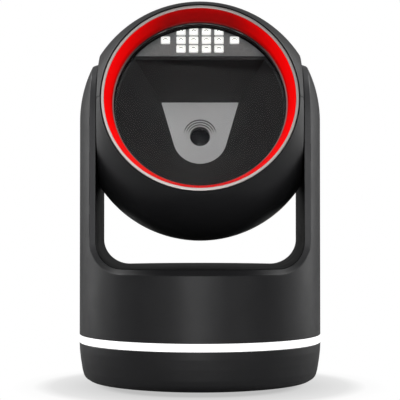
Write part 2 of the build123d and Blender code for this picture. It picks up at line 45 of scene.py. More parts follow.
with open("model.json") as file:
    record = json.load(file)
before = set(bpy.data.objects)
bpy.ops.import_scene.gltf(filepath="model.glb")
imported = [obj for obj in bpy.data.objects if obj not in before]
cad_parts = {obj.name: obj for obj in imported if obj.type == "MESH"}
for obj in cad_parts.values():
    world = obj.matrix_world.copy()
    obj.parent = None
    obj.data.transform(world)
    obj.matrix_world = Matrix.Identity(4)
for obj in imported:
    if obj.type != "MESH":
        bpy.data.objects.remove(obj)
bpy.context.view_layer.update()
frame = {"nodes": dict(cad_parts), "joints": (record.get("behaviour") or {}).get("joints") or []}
MM = 0.001

# ---- Facts read from the frame ------------------------------------------------------------------

TILT_JOINT = next(joint for joint in frame["joints"] if joint["name"] == "head_tilt")
PIVOT = Vector(TILT_JOINT["pos_m"])
BODY_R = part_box("yoke_shell")[1].x
RING_LOW, RING_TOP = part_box("ring_light_diffuser")[0].z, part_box("ring_light_diffuser")[1].z
FOOT_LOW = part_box("foot_cup")[0].z
HEAD_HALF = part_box("head_upper_shell")[1].x
# radii of the trim ring, the red ring and the window, in millimetres
TRIM_R, GLOW_R, PANE_R = (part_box(node)[1].x / MM
                          for node in ("mouth_trim_ring", "red_light_ring", "window_pane"))


# ---- What a user may change ---------------------------------------------------------------------

def length(name, description, millimetres):
    return FloatProperty(name=name, description=description, default=millimetres * MM,
                         unit="LENGTH", subtype="DISTANCE", precision=5)


def colour(name, description, code):
    """A colour picker whose default is an sRGB hex code."""
    return FloatVectorProperty(name=name, description=description, subtype="COLOR", size=3,
                               min=0.0, max=1.0, default=linear(code))


def linear(code):
    """An sRGB hex code as linear red, green and blue."""
    parts = [int(code[i:i + 2], 16) / 255 for i in (0, 2, 4)]
    return tuple(c / 12.92 if c <= 0.04045 else ((c + 0.055) / 1.055) ** 2.4 for c in parts)


class ScannerSizes(bpy.types.PropertyGroup):
    """Sizes of the pieces that are built here, in metres."""
    head_radius: length("Head radius", "Radius of the ball", 45.8)
    mouth_up: FloatProperty(name="Mouth angle", description="How far the mouth looks up at rest",
                            default=radians(15.7), subtype="ANGLE", unit="ROTATION")
    mouth_radius: length("Mouth opening", "Radius of the opening in the ball", 36.5)
    face_depth: length("Mouth face", "Distance of the trim ring's face from the tilt axis", 27.4)
    gap_half: length("Arm face", "Distance of each arm's inner face from the middle", 38.4)
    gap_floor: length("Gap floor", "Height of the floor between the arms", 44.0)
    gap_corner: length("Gap corner", "Inner radius of the U between the arms", 10.0)
    bevel_floor: length("Bevel at the floor", "Width of the bevel along the floor's edge", 2.0)
    bevel_arm: length("Bevel on the arms", "Width of the bevel along the arms", 2.44)
    edge_round: length("Edge rounding", "Radius of the moulded edges", 0.35)


class ScannerColours(bpy.types.PropertyGroup):
    """Colours of the finishes."""
    body: colour("Body", "Satin ABS of the yoke and foot", "2b2b2d")
    head: colour("Head", "Dark ABS of the ball", "2d2d2f")
    liner: colour("Liner", "Dark ABS of the U-shaped wall", "0d0d0e")
    red: colour("Red ring", "Red polycarbonate light guide", "a80406")
    white: colour("Light ring", "Opal polycarbonate", "ffffff")
    plate: colour("Camera plate", "Grey polycarbonate round the lens", "d0d0d0")


def sizes():
    return bpy.context.scene.scanner_sizes


def colours():
    return bpy.context.scene.scanner_colours


# ---- Node and material helpers ------------------------------------------------------------------

def add(tree, kind, inputs=None, **settings):
    """Adds a node with its settings; a socket given as an input is linked, a value is set."""
    made = tree.nodes.new(kind)
    for key, value in settings.items():
        setattr(made, key, value)
    for key, value in (inputs or {}).items():
        socket = made.inputs[key]
        if isinstance(value, bpy.types.NodeSocket):
            tree.links.new(value, socket)
        else:
            socket.default_value = (*value, 1.0) if socket.type == "RGBA" else value
    return made


def finish_of(name, surface):
    """A new material with one Principled shader: returns the material, its tree and the shader."""
    material = bpy.data.materials.new(name)
    material.use_nodes = True
    tree = material.node_tree
    tree.nodes.clear()
    shader = add(tree, "ShaderNodeBsdfPrincipled", surface)
    add(tree, "ShaderNodeOutputMaterial", {"Surface": shader.outputs["BSDF"]})
    return material, tree, shader


def feed(tree, shader, sockets):
    """Links patterns to the shader's inputs."""
    for key, socket in sockets.items():
        tree.links.new(socket, shader.inputs[key])


def shader_of(material):
    return next(node for node in material.node_tree.nodes if node.type == "BSDF_PRINCIPLED")


def show_instead(material, surface):
    """Makes another shader the material's surface."""
    output = next(node for node in material.node_tree.nodes if node.type == "OUTPUT_MATERIAL")
    material.node_tree.links.new(surface, output.inputs["Surface"])


WHOLE = (0.0, 1.0)             # all of a noise's range, where the default is its usual middle part


def uneven(tree, size_mm, low=0.0, high=1.0, spread=(0.3, 0.7), detail=3.0, roughness=0.55):
    """A number from low to high that changes over the surface, in patches about size_mm across."""
    place = add(tree, "ShaderNodeTexCoord").outputs["Object"]
    noise = add(tree, "ShaderNodeTexNoise", {
        "Vector": place, "Scale": 1 / (size_mm * MM), "Detail": detail, "Roughness": roughness})
    return add(tree, "ShaderNodeMapRange", {
        "Value": noise.outputs["Fac"], "From Min": spread[0], "From Max": spread[1],
        "To Min": low, "To Max": high}).outputs["Result"]


def mottled(tree, size_mm, first, second, high=1.0, **patches):
    """A colour that goes from the first towards the second, in patches about size_mm across."""
    share = uneven(tree, size_mm, 0.0, high, **patches)
    return add(tree, "ShaderNodeMix", {0: share, 6: first, 7: second}, data_type="RGBA").outputs[2]


def pitted(tree, size_mm, depth_mm, **patches):
    """A relief of grains about size_mm across and depth_mm deep."""
    height = uneven(tree, size_mm, spread=WHOLE, **patches)
    relief = add(tree, "ShaderNodeBump", {"Height": height, "Distance": depth_mm * MM, "Strength": 1.0})
    return relief.outputs["Normal"]


def shade(colour_value, factor):
    return tuple(c * factor for c in colour_value)


def moulded_abs(name, base, rough, grain_mm=0.45, wear=0.16, gloss=0.5):
    """Injection-moulded ABS: spark-eroded grain breaks up the gloss, and handling polishes it in patches."""
    material, tree, shader = finish_of(name, {"IOR": 1.53, "Specular IOR Level": gloss})
    wear_and_sheen = mottled(tree, 22.0, shade(base, 1 - wear), shade(base, 1 + wear), detail=4.0)
    feed(tree, shader, {
        "Base Color": mottled(tree, grain_mm, wear_and_sheen, shade(base, 0.72), 0.35, spread=(0.35, 0.75),
                              detail=2.0, roughness=0.6),
        "Roughness": uneven(tree, 9.0, rough - 0.05, rough + 0.06, detail=5.0, roughness=0.6),
        "Normal": pitted(tree, grain_mm, 0.010, detail=2.0, roughness=0.6)})
    return material


def hard_finish(name, size_mm, first, second, surface, **patches):
    """Cast resin or ground glass: smooth and hard, with only a slight unevenness of tone."""
    material, tree, shader = finish_of(name, surface)
    feed(tree, shader, {"Base Color": mottled(tree, size_mm, linear(first), linear(second), **patches)})
    return material


def coat(node, material):
    """Paints a CAD node by assigning to its material slots."""
    for slot in frame["nodes"][node].material_slots:
        slot.material = material


# ---- Mesh helpers -------------------------------------------------------------------------------

def mouth_place():
    """The mouth's frame: x across, y up in the mouth's plane, z out of the mouth."""
    return Matrix.Translation(PIVOT) @ Matrix.Rotation(pi / 2 - sizes().mouth_up, 4, "X")


def on_mouth(tree):
    """Where a point lies in the mouth's frame, in metres: the whole vector, then across, up and out."""
    turned = add(tree, "ShaderNodeMapping", {
        "Vector": add(tree, "ShaderNodeTexCoord").outputs["Object"], "Location": PIVOT,
        "Rotation": (pi / 2 - sizes().mouth_up, 0, 0)}, vector_type="TEXTURE").outputs["Vector"]
    return turned, *add(tree, "ShaderNodeSeparateXYZ", {"Vector": turned}).outputs


def new_object(name, bm):
    """An object of a mesh that has been built."""
    bmesh.ops.recalc_face_normals(bm, faces=bm.faces)
    mesh = bpy.data.meshes.new(name)
    bm.to_mesh(mesh)
    bm.free()
    obj = bpy.data.objects.new(name, mesh)
    bpy.context.scene.collection.objects.link(obj)
    return obj


def mesh_object(name, body, bm, material, *replaced, slot=None, smooth=True):
    """Turns a bmesh into a piece that rides on a body and stands for the CAD nodes named."""
    obj = new_object(name, bm)
    obj.data.materials.append(material)
    for face in obj.data.polygons:
        face.use_smooth = smooth
    if replaced:
        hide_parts(*replaced)
    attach(obj, body)
    return obj


def band(bm, low, high):
    """Quads between two closed rings of vertices."""
    for k in range(len(low)):
        n = (k + 1) % len(low)
        bm.faces.new([low[k], low[n], high[n], high[k]])


def rounded(corners, steps=4):
    """A closed outline (radius, height, fillet) with each corner turned into an arc."""
    outline = []
    count = len(corners)
    for i, (r, h, fillet) in enumerate(corners):
        here = Vector((r, h))
        before = Vector(corners[i - 1][:2]) - here
        after = Vector(corners[(i + 1) % count][:2]) - here
        if fillet <= 0 or before.length < 1e-9 or after.length < 1e-9:
            outline.append(here)
            continue
        half = before.angle(after) / 2
        reach = min(fillet / tan(half), before.length * 0.49, after.length * 0.49)
        radius = reach * tan(half)
        middle = here + (before.normalized() + after.normalized()).normalized() * (radius / sin(half))
        start, end = here + before.normalized() * reach, here + after.normalized() * reach
        a, b = start - middle, end - middle
        sweep = a.angle(b)
        for k in range(steps + 1):
            t = k / steps
            mixed = a * (sin((1 - t) * sweep) / sin(sweep)) + b * (sin(t * sweep) / sin(sweep))
            outline.append(middle + mixed)
    return outline


def lathe(bm, outline, place=None, segments=160):
    """Turns a closed outline of (radius, height) about the local Z axis into quads."""
    place = place or Matrix.Identity(4)
    rings = []
    for r, h in outline:
        if abs(r) < 1e-7:
            rings.append([bm.verts.new(place @ Vector((0, 0, h)))])
            continue
        rings.append([bm.verts.new(place @ Vector((r * cos(a), r * sin(a), h)))
                      for a in (2 * pi * k / segments for k in range(segments))])
    for low, high in zip(rings, rings[1:] + rings[:1]):
        if len(low) == 1 and len(high) == 1:
            continue
        for k in range(segments):
            n = (k + 1) % segments
            quad = [low[k % len(low)], low[n % len(low)], high[n % len(high)], high[k % len(high)]]
            bm.faces.new(list(dict.fromkeys(quad)))


def even_normals(obj, angle=35.0):
    """Keeps flat faces flat beside small roundings, and edges past an angle sharp."""
    obj.data.set_sharp_from_angle(angle=radians(angle))
    even = obj.modifiers.new("even normals", "WEIGHTED_NORMAL")
    even.keep_sharp = True
    even.weight = 80


def turned_piece(name, body, corners, material, *replaced, place=None, steps=4, segments=160, slot=None):
    """A turned piece from its rounded outline in millimetres."""
    bm = bmesh.new()
    outline = rounded([(r * MM, h * MM, f * MM) for r, h, f in corners], steps)
    lathe(bm, [tuple(p) for p in outline], place, segments)
    piece = mesh_object(name, body, bm, material, *replaced, slot=slot)
    even_normals(piece)
    return piece


# ---- Yoke ---------------------------------------------------------------------------------------

SHELL_WALL = 2.4 * MM
LINER_WALL = 1.8 * MM
RIM_OVAL = (44.7 * MM, 43.0 * MM)        # half-axes of the oval that the liner's edges follow
FLOOR_STEPS, CORNER_STEPS, ARM_STEPS, DOME_STEPS = 10, 14, 14, 14
LOW_ROWS, ARM_ROWS = 10, 14
SEAT_LAP = 2 * MM              # how far below the liner's seat the inner skin turns in


def oval_y(x):
    return RIM_OVAL[1] * sqrt(max(0.0, 1 - (x / RIM_OVAL[0]) ** 2))


def gap_stations():
    """One quarter of the U's edge, from the middle of the floor to where the corner meets the arm.

    Each is the point on the gap's wall (x, z) and its outward direction."""
    s = sizes()
    flat = s.gap_half - s.gap_corner
    stations = [(flat * k / FLOOR_STEPS, s.gap_floor, 0.0, -1.0) for k in range(FLOOR_STEPS)]
    for k in range(CORNER_STEPS + 1):
        a = pi / 2 * k / CORNER_STEPS
        stations.append((flat + s.gap_corner * sin(a), s.gap_floor + s.gap_corner * (1 - cos(a)),
                         sin(a), -cos(a)))
    return stations


def bevel_width(nx):
    s = sizes()
    return s.bevel_floor + (s.bevel_arm - s.bevel_floor) * nx


def yoke_quarter(bm, mirror_x, mirror_y, weights):
    """One quarter of the yoke shell: outer skin, bevel, seat of the liner and inner skin."""
    s = sizes()
    arm_x = s.gap_half + s.bevel_arm
    arm_angle, inner_angle = asin(arm_x / BODY_R), radians(70.0)
    inner_r = BODY_R - SHELL_WALL
    seat_x = s.gap_half + LINER_WALL

    def vert(x, y, z):
        return bm.verts.new((x * mirror_x, y * mirror_y, z))

    def skin(columns, edge_strip=None):
        """Faces between columns of vertices; the strip numbered gets the edge's material with its painted
        sheen.
        """
        for left, right in zip(columns, columns[1:]):
            for k, (a, b, c, d) in enumerate(zip(left, right, right[1:], left[1:])):
                bm.faces.new([a, b, c, d]).material_index = int(k == edge_strip)

    def inward(angle):
        """Where the inner skin stands for an outer column: it keeps clear of the liner's seat."""
        if angle <= arm_angle:
            return angle * inner_angle / arm_angle
        return pi / 2 - (pi / 2 - angle) * (pi / 2 - inner_angle) / (pi / 2 - arm_angle)

    def upright(radius, angle, levels):
        return [(radius * sin(angle), radius * cos(angle), h) for h in levels]

    def rows(top):
        return [RING_TOP + (top - RING_TOP) * k / LOW_ROWS for k in range(LOW_ROWS + 1)]

    outer, inner, bevel = [], [], []
    for x, z, nx, nz in gap_stations():
        width = bevel_width(nx)
        angle = asin((x + nx * width) / BODY_R)
        sx, sz = x + nx * LINER_WALL, z + nz * LINER_WALL
        rim = [(x, oval_y(x), z), (sx, oval_y(sx), sz)]
        outer.append(upright(BODY_R, angle, rows(z + nz * width)))
        bevel.append([outer[-1][-1]] + rim)
        inner.append(upright(inner_r, inward(angle), rows(sz - SEAT_LAP)) + [rim[1]])
    corner_top = s.gap_floor + s.gap_corner
    heights = [corner_top + (PIVOT.z - corner_top) * k / ARM_ROWS for k in range(ARM_ROWS + 1)]
    angles = [arm_angle + (pi / 2 - arm_angle) * k / ARM_STEPS for k in range(ARM_STEPS + 1)]
    for angle in angles[1:]:
        outer.append(upright(BODY_R, angle, rows(corner_top)))
        inner.append(upright(inner_r, inward(angle), rows(corner_top - SEAT_LAP)))
    arm_outer = [upright(BODY_R, angle, heights) for angle in angles]
    arm_inner = [upright(inner_r, inward(angle), [corner_top - SEAT_LAP] + heights[1:]) for angle in angles]
    edge_y = BODY_R * cos(arm_angle)
    arm_rim = [[(arm_x, edge_y, h), (s.gap_half, oval_y(s.gap_half), h), (seat_x, oval_y(seat_x), h),
                arm_inner[0][k]] for k, h in enumerate(heights)]
    turns = [pi / 2 * k / DOME_STEPS for k in range(DOME_STEPS + 1)]

    def over_dome(profile):
        """Carries points (x, distance from the tilt axis) over the top of the arm, one quarter turn."""
        return [[(x, rho * cos(t), PIVOT.z + rho * sin(t)) for t in turns] for x, rho in profile]

    dome_outer = over_dome([(p[-1][0], p[-1][1]) for p in arm_outer])
    dome_inner = over_dome([(p[-1][0], p[-1][1]) for p in arm_inner])
    dome_rim = over_dome([(p[0], p[1]) for p in arm_rim[-1]])
    bottom = [[o[0], i[0]] for o, i in zip(outer, inner)]
    for grid in (outer, inner, arm_outer, arm_inner, dome_outer, dome_inner, bottom):
        skin([[vert(*p) for p in column] for column in grid])
    for grid in (bevel, arm_rim, [list(column) for column in zip(*dome_rim)]):
        skin([[vert(*p) for p in column] for column in grid], edge_strip=0)
    floor_edges = [[column[0] for column in bevel], [column[1] for column in bevel]]
    arm_edges = [[row[0] for row in arm_rim], [row[1] for row in arm_rim]]
    dome_edges = dome_rim[:2]
    base_edge = [column[0] for column in outer]
    for line in floor_edges + arm_edges + dome_edges + [base_edge]:
        weights.extend(((x * mirror_x, y * mirror_y, z) for x, y, z in line))


def yoke_shell_mesh():
    """The yoke's outer shell, built from four mirrored quarters and joined."""
    bm = bmesh.new()
    marked = []
    for mirror_x in (-1, 1):
        for mirror_y in (-1, 1):
            yoke_quarter(bm, mirror_x, mirror_y, marked)
    bmesh.ops.remove_doubles(bm, verts=bm.verts, dist=0.002 * MM)
    bmesh.ops.dissolve_degenerate(bm, edges=bm.edges, dist=0.0005 * MM)
    near = {tuple(round(c / (0.01 * MM)) for c in p) for p in marked}
    weight = bm.edges.layers.float.new("bevel_weight_edge")
    for edge in bm.edges:
        if all(tuple(round(c / (0.01 * MM)) for c in v.co) in near for v in edge.verts):
            if len(edge.link_faces) == 2 and edge.calc_face_angle(0) > radians(20):
                edge[weight] = 1.0
    return bm


def cut_by(obj, cutter):
    """Applies a piece's modifiers and subtracts a helper object from it, which is then deleted."""
    bpy.context.view_layer.update()
    cut = obj.modifiers.new("cut", "BOOLEAN")
    cut.operation, cut.solver, cut.object = "DIFFERENCE", "EXACT", cutter
    graph = bpy.context.evaluated_depsgraph_get()
    mesh = bpy.data.meshes.new_from_object(obj.evaluated_get(graph))
    obj.modifiers.clear()
    old, obj.data = obj.data, mesh
    name = old.name
    bpy.data.meshes.remove(old)
    mesh.name = name
    bpy.data.objects.remove(cutter)


def rounded_block(low, high, radius, steps=5):
    """A box whose four edges along Y are rounded."""
    bm = bmesh.new()
    left, right, under, over = low[0] + radius, high[0] - radius, low[2] + radius, high[2] - radius
    ends = []
    for y in (low[1], high[1]):
        ring = []
        for quarter, (x, z) in enumerate(((right, over), (left, over), (left, under), (right, under))):
            for k in range(steps + 1):
                a = pi / 2 * (quarter + k / steps)
                ring.append(bm.verts.new((x + radius * cos(a), y, z + radius * sin(a))))
        ends.append(ring)
    band(bm, *ends)
    bm.faces.new(ends[0])
    bm.faces.new(ends[1][::-1])
    return bm


EDGE_SHEEN_HEIGHTS = (45 * MM, 52 * MM)        # heights between which the gap's edge turns to its lighter colour, a painted sheen


def edge_painted_sheen(name, low, high):
    """ABS of the gap's edge: a lighter colour painted along the arms as sheen, and the plain moulded colour
    down at the floor.
    """
    material = moulded_abs(name, high, 0.34, wear=0.06)
    tree, shader = material.node_tree, shader_of(material)
    place = add(tree, "ShaderNodeTexCoord").outputs["Object"]
    # share of the painted sheen: none at the floor, full along the arms
    wear_and_sheen = add(tree, "ShaderNodeMapRange", {
        "Value": add(tree, "ShaderNodeSeparateXYZ", {"Vector": place}).outputs["Z"],
        "From Min": EDGE_SHEEN_HEIGHTS[0], "From Max": EDGE_SHEEN_HEIGHTS[1]}).outputs["Result"]
    painted_sheen = shader.inputs["Base Color"].links[0].from_socket
    sheen_by_height = add(tree, "ShaderNodeMix", {0: wear_and_sheen, 6: low, 7: painted_sheen}, data_type="RGBA").outputs[2]
    feed(tree, shader, {"Base Color": sheen_by_height})
    return material


class SCANNER_OT_yoke(bpy.types.Operator):
    """Builds the yoke's outer shell and finishes the dark liner of the gap"""
    bl_idname = "scanner.yoke"
    bl_label = "Yoke"

    def execute(self, context):
        s, c = sizes(), colours()
        body = moulded_abs("Satin_ABS_yoke", tuple(c.body), 0.42)
        shell = mesh_object("yoke_outer_shell", "stand", yoke_shell_mesh(), body, "yoke_shell",
                            slot="body_plastic")
        # the gap's edge: a lighter painted sheen along the arms
        shell.data.materials.append(edge_painted_sheen("ABS_edge_painted_sheen", tuple(c.body), linear("5c5c5e")))
        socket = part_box("interface_socket")
        margin = 0.2 * MM
        opening = rounded_block((socket[0].x - margin, socket[0].y, socket[0].z),
                                (socket[1].x + margin, BODY_R * 1.2, socket[1].z + margin), 0.8 * MM)
        weights = shell.modifiers.new("edge rounding", "BEVEL")
        weights.limit_method, weights.width, weights.segments = "WEIGHT", s.edge_round, 3
        weights.harden_normals = True
        cut_by(shell, new_object("opening_cutter", opening))
        coat("yoke_liner", moulded_abs("Dark_ABS_liner", tuple(c.liner), 0.52, wear=0.08, gloss=0.12))
        return {"FINISHED"}


# ---- Foot and light ring ------------------------------------------------------------------------

def lit_opal(name, base):
    """Opal polycarbonate lit from inside: an even glow with a soft surface gloss."""
    material, tree, shader = finish_of(name, {
        "IOR": 1.585, "Roughness": 0.35, "Emission Color": base, "Emission Strength": 1.0})
    feed(tree, shader, {"Base Color": mottled(tree, 1.2, base, shade(base, 0.93), detail=2.0),
                        "Normal": pitted(tree, 0.4, 0.004, detail=2.0)})
    return material


class SCANNER_OT_foot(bpy.types.Operator):
    """Builds the round foot and its rubber ring"""
    bl_idname = "scanner.foot"
    bl_label = "Foot"

    def execute(self, context):
        c = colours()
        r, low, top, wall = BODY_R / MM, FOOT_LOW / MM, RING_LOW / MM, 2.4
        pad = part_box("rubber_foot_ring")
        pad_out, pad_in, pad_top = pad[1].x / MM, pad[1].x / MM - 6.0, pad[1].z / MM
        corners = [(r, top, 0.3), (r - 0.1, 12.5, 12), (r - 0.5, 9.0, 8), (r - 1.15, 5.0, 5),
                   (r - 1.9, 2.3, 3), (r - 4.2, low + 0.35, 2.4), (r - 6.6, low, 2),
                   (pad_out + 0.2, low, 0.2), (pad_out + 0.2, pad_top, 0), (pad_in - 0.2, pad_top, 0),
                   (pad_in - 0.2, low, 0.2), (0, low, 0), (0, low + 2.2, 0), (38, low + 2.2, 3),
                   (r - wall - 1, 6, 3), (r - wall, 12, 0), (r - wall, top, 0.2)]
        foot = moulded_abs("Satin_ABS_foot", tuple(c.body), 0.42)
        turned_piece("foot_cup_shell", "stand", corners, foot, "foot_cup", steps=5, segments=192,
                     slot="body_plastic")
        # moulded rubber: dull, dusty black, with a coarse skin
        rubber, tree, shader = finish_of("Moulded_rubber", {"IOR": 1.52, "Roughness": 0.85})
        feed(tree, shader, {"Base Color": mottled(tree, 0.8, linear("141414"), linear("232323")),
                            "Normal": pitted(tree, 0.5, 0.02)})
        ring = [(pad_out, 0, 0.5), (pad_out, pad_top, 0.1), (pad_in, pad_top, 0.1), (pad_in, 0, 0.5)]
        turned_piece("rubber_foot", "stand", ring, rubber, "rubber_foot_ring", slot="foot_rubber")
        return {"FINISHED"}


class SCANNER_OT_light_ring(bpy.types.Operator):
    """Builds the white ring of light between the foot and the yoke"""
    bl_idname = "scanner.light_ring"
    bl_label = "Light ring"

    def execute(self, context):
        r, low, top = BODY_R / MM, RING_LOW / MM, RING_TOP / MM
        corners = [(r - 0.02, low + 0.06, 0.25), (r - 0.02, top - 0.06, 0.25), (r - 2.5, top - 0.06, 0.1),
                   (r - 2.5, top - 0.8, 0), (r - 3.5, top - 0.8, 0.1), (r - 3.5, low + 0.06, 0.1)]
        opal = lit_opal("Opal_polycarbonate", tuple(colours().white))
        turned_piece("white_light_ring", "stand", corners, opal, "ring_light_diffuser", segments=192,
                     slot="light_ring")
        return {"FINISHED"}


# ---- Head ---------------------------------------------------------------------------------------

HEAD_WALL = 2.2 * MM
PARTING = 0.11 * MM
STUB_CLEAR_R = 5.6 * MM


def ball_outline():
    """Section of the ball's wall, from the tilt axis outwards: (distance from the axis, x)."""
    s = sizes()
    r, half, wall = s.head_radius, HEAD_HALF, HEAD_WALL
    fillet = 0.8 * MM
    steps = 72

    def skin(radius, face, blend):
        """Right to left over the ball: flat, small fillet, arc, fillet, flat."""
        lean = asin((face - blend) / (radius - blend))
        mid = (radius - blend) * cos(lean), face - blend
        flat_end = mid[0]
        points = []
        for k in range(5):
            a = lean + (pi / 2 - lean) * (1 - k / 4)
            points.append((mid[0] + blend * cos(a), mid[1] + blend * sin(a)))
        for k in range(1, steps):
            a = lean - 2 * lean * k / steps
            points.append((radius * cos(a), radius * sin(a)))
        points += [(rho, -x) for rho, x in points[4::-1]]
        return [(flat_end * 0.6, face)] + points + [(flat_end * 0.6, -face)]

    outer = [(STUB_CLEAR_R, half)] + skin(r, half, fillet) + [(STUB_CLEAR_R, -half)]
    inner = [(STUB_CLEAR_R, half - wall)] + skin(r - wall, half - wall, fillet)
    inner.append((STUB_CLEAR_R, wall - half))
    return outer + inner[::-1]


def half_ball(upper):
    """Half of the ball's wall, turned about the tilt axis, with eased edges along the parting line."""
    outline = ball_outline()
    ease = [(0.0, 0.14), (0.06, 0.05), (0.16, 0.0)]       # millimetres along the wall, and inset
    r = sizes().head_radius
    start = asin(PARTING / r)
    first = [(start + along * MM / r, inset * MM) for along, inset in ease]
    count = 96
    span = pi - 2 * first[-1][0]
    middle = [(first[-1][0] + span * k / count, 0.0) for k in range(1, count)]
    last = [(pi - angle, inset) for angle, inset in reversed(first)]
    stations = first + middle + last
    bm = bmesh.new()
    outer_count = len(outline) // 2
    rings = []
    for angle, inset in stations:
        turn = angle if upper else -angle
        ring = []
        for index, (rho, x) in enumerate(outline):
            held = rho - inset if index < outer_count and rho > STUB_CLEAR_R * 1.5 else rho
            side = x
            if index < outer_count and abs(abs(x) - HEAD_HALF) < 1e-7:
                side = x - inset * (1 if x > 0 else -1)
            ring.append(bm.verts.new((side, held * sin(turn), held * cos(turn))))
        rings.append(ring)
    for low, high in zip(rings, rings[1:]):
        band(bm, low, high)
    bm.faces.new(rings[0][::-1])
    bm.faces.new(rings[-1])
    bm.transform(mouth_place())
    return bm


def mouth_cutter():
    """Cuts the opening, with a rounded lip where it meets the ball's surface."""
    s = sizes()
    lip = 0.45 * MM
    edge = sqrt(s.head_radius ** 2 - s.mouth_radius ** 2)
    outline = [(0, 13.8 * MM), (s.mouth_radius, 13.8 * MM), (s.mouth_radius, edge - lip)]
    for k in range(1, 5):
        a = pi / 2 * k / 4
        outline.append((s.mouth_radius + lip * (1 - cos(a)), edge - lip + lip * sin(a)))
    outline += [(s.mouth_radius + lip * 1.4, edge + lip), (s.mouth_radius + lip * 1.4, 60 * MM), (0, 60 * MM)]
    bm = bmesh.new()
    lathe(bm, outline, mouth_place(), 256)
    return new_object("mouth_cutter", bm)


class SCANNER_OT_head_shells(bpy.types.Operator):
    """Builds the two halves of the ball"""
    bl_idname = "scanner.head_shells"
    bl_label = "Head shells"

    def execute(self, context):
        skin = moulded_abs("Dark_ABS_ball", tuple(colours().head), 0.40)
        for upper, name, node in ((True, "upper_ball_shell", "head_upper_shell"),
                                  (False, "lower_ball_shell", "head_lower_shell")):
            shell = mesh_object(name, "head", half_ball(upper), skin, node, slot="head_plastic")
            cut_by(shell, mouth_cutter())
            for face in shell.data.polygons:
                face.use_smooth = True
            even_normals(shell, 40.0)
        return {"FINISHED"}


# distances out of the mouth from the tilt axis, radii and widths, in millimetres
TRIM_BACK, TRIM_FACE = 17.6, 1.2         # back of the trim ring, and width of its face
RED_BACK, RIM_FRONT = 19.45, 20.2        # back of the red ring, and front of its clear rim
RIM_R, RIM_WIDTH = 32.45, 0.45           # outer radius and width of that rim
CONE = ((34.2, 25.4, 0.5), (RIM_R, 21.5, 0.15))      # radius, place and fillet where the red cone bends
PANE_BACK, PANE_FRONT = 18.2, 19.4
RIM_PAINTED_SHADE = (8.0, 24.0)                # heights above the tilt axis between which painted shade turns the rim dark
RED_GLOW_AND_SHADE = (0.13, 0.74)                  # glow at the top and at the sides of the red ring: painted shade at the top, painted highlight at the sides


def clear_pane(name):
    """Anti-reflective float glass: nearly no gloss, a few faint wipe marks, and it lets lamps through."""
    material, tree, shader = finish_of(name, {
        "IOR": 1.12, "Transmission Weight": 1.0, "Base Color": linear("fcfdfd")})
    feed(tree, shader, {"Roughness": uneven(tree, 14.0, 0.01, 0.05, (0.35, 0.7), detail=4.0)})
    path = add(tree, "ShaderNodeLightPath").outputs["Is Shadow Ray"]
    clear = add(tree, "ShaderNodeBsdfTransparent", {"Color": linear("f9fcfc")})
    mixed = add(tree, "ShaderNodeMixShader", {0: path, 1: shader.outputs["BSDF"], 2: clear.outputs["BSDF"]})
    show_instead(material, mixed.outputs["Shader"])
    return material


def red_guide(name, base):
    """Red-dyed polycarbonate lit from behind, its glow shaped as painted light and shade: brighter on its lip
    and at the sides, with painted shade deep down the cone.
    """
    material, tree, shader = finish_of(name, {
        "IOR": 1.585, "Roughness": 0.45, "Specular IOR Level": 0.12, "Emission Color": linear("ff0203")})
    _, across, up, out = on_mouth(tree)
    side = add(tree, "ShaderNodeMath", {0: across}, operation="ABSOLUTE").outputs["Value"]
    # the glow's strength is painted light and shade over the ring, not an even glow
    glow_and_painted_shade = [add(tree, "ShaderNodeMapRange", {
        "Value": place, "From Min": start * MM, "From Max": end * MM, "To Min": low, "To Max": high}
    ).outputs["Result"] for place, start, end, low, high in (
        (side, 12.0, 32.0, *RED_GLOW_AND_SHADE),         # painted shade at the top, rising to a painted highlight at the sides
        (out, 24.8, 27.0, 0.0, 0.12),          # painted highlight, more on the lip
        (up, -30.0, 0.0, 0.45, 0.0),           # painted light, more towards the bottom
        (out, 21.2, 23.0, 0.35, 1.0))]         # painted shade: share of it that is left down the cone
    strength = glow_and_painted_shade[0]
    for operation, glow in zip(("ADD", "ADD", "MULTIPLY"), glow_and_painted_shade[1:]):
        strength = add(tree, "ShaderNodeMath", {0: strength, 1: glow}, operation=operation).outputs["Value"]
    feed(tree, shader, {"Base Color": mottled(tree, 2.0, base, shade(base, 0.85), detail=2.0),
                        "Emission Strength": strength})
    return material


def clear_rim(name):
    """Clear polycarbonate lip of the light guide: pale at the sides and below, with painted shade making it
    dark under the ball's top.
    """
    material, tree, shader = finish_of(name, {"IOR": 1.585, "Roughness": 0.3})
    clear = mottled(tree, 0.8, linear("a8928f"), linear("b8a4a0"), detail=2.0)
    # painted shade: the rim's colour darkens towards the ball's top
    upper = add(tree, "ShaderNodeMapRange", {
        "Value": on_mouth(tree)[2], "From Min": RIM_PAINTED_SHADE[0] * MM, "From Max": RIM_PAINTED_SHADE[1] * MM})
    shaded = add(tree, "ShaderNodeMix", {0: upper.outputs["Result"], 6: clear, 7: linear("1a0c0c")},
                 data_type="RGBA")
    feed(tree, shader, {"Base Color": shaded.outputs[2]})
    return material


